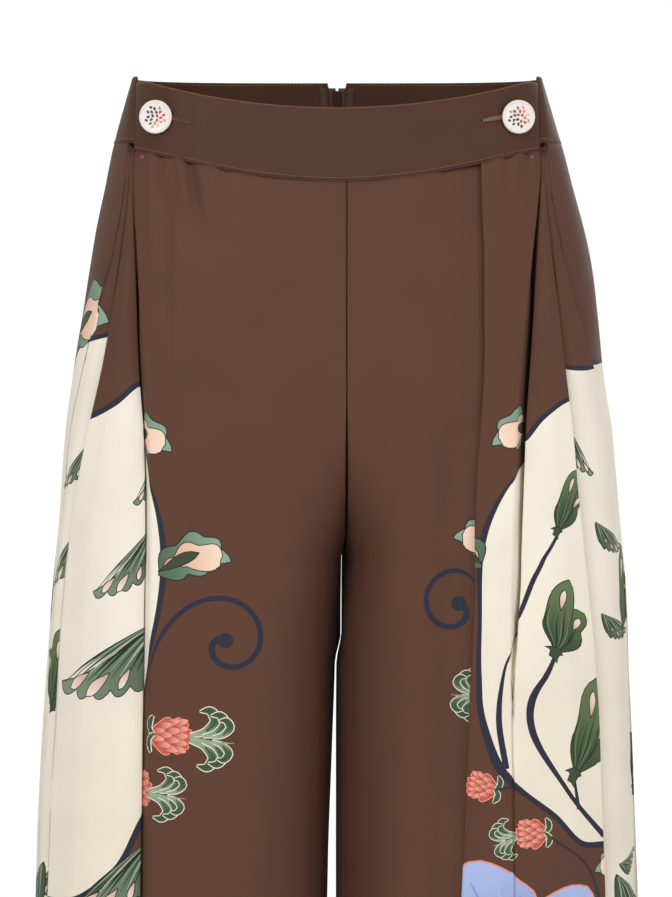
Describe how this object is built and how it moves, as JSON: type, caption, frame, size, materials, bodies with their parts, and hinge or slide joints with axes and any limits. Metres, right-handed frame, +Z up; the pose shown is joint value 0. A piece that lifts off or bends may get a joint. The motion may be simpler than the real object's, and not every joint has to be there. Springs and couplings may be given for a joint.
{
  "type": "palazzo trousers",
  "caption": "Wide-leg trousers filled out as worn, with a shaped waistband that buttons at the sides, side pleats, a centre-back zip and an ornamental print.",
  "frame": {"origin": "centre of the waist opening, level with the top edge of the waistband at the sides", "axes": "+Z up, the front faces -Y, the wearer's left is +X"},
  "size_m": [0.444, 0.228, 1.05],
  "materials": {
    "printed_cloth": "matte crepe satin, brown with a cream and navy figured print",
    "band_cloth": "matte crepe satin, plain brown",
    "zip_cloth": "woven brown tape",
    "zip_teeth": "dyed nylon coil",
    "zip_metal": "brown enamel, worn bright on the edges",
    "button_shell": "pearly shell look with a small printed spray"
  },
  "bodies": {
    "garment": {"waistband_front": "band_cloth", "waistband_back_left": "band_cloth", "waistband_back_right": "band_cloth", "front_left": "printed_cloth", "front_right": "printed_cloth", "back_left": "printed_cloth", "back_right": "printed_cloth", "zip_tape_left": "zip_cloth", "zip_tape_right": "zip_cloth", "zip_chain": "zip_teeth", "zip_slider": "zip_metal", "button_left": "button_shell", "button_right": "button_shell"},
    "zip_pull": {"zip_pull": "zip_metal"}
  },
  "joints": [
    {"name": "zip_pull_hinge", "type": "hinge", "parent": "garment", "child": "zip_pull", "pos_m": [0, 0.09074, -0.00881], "axis": [1, 0, 0], "range_deg": [0, 150]}
  ]
}
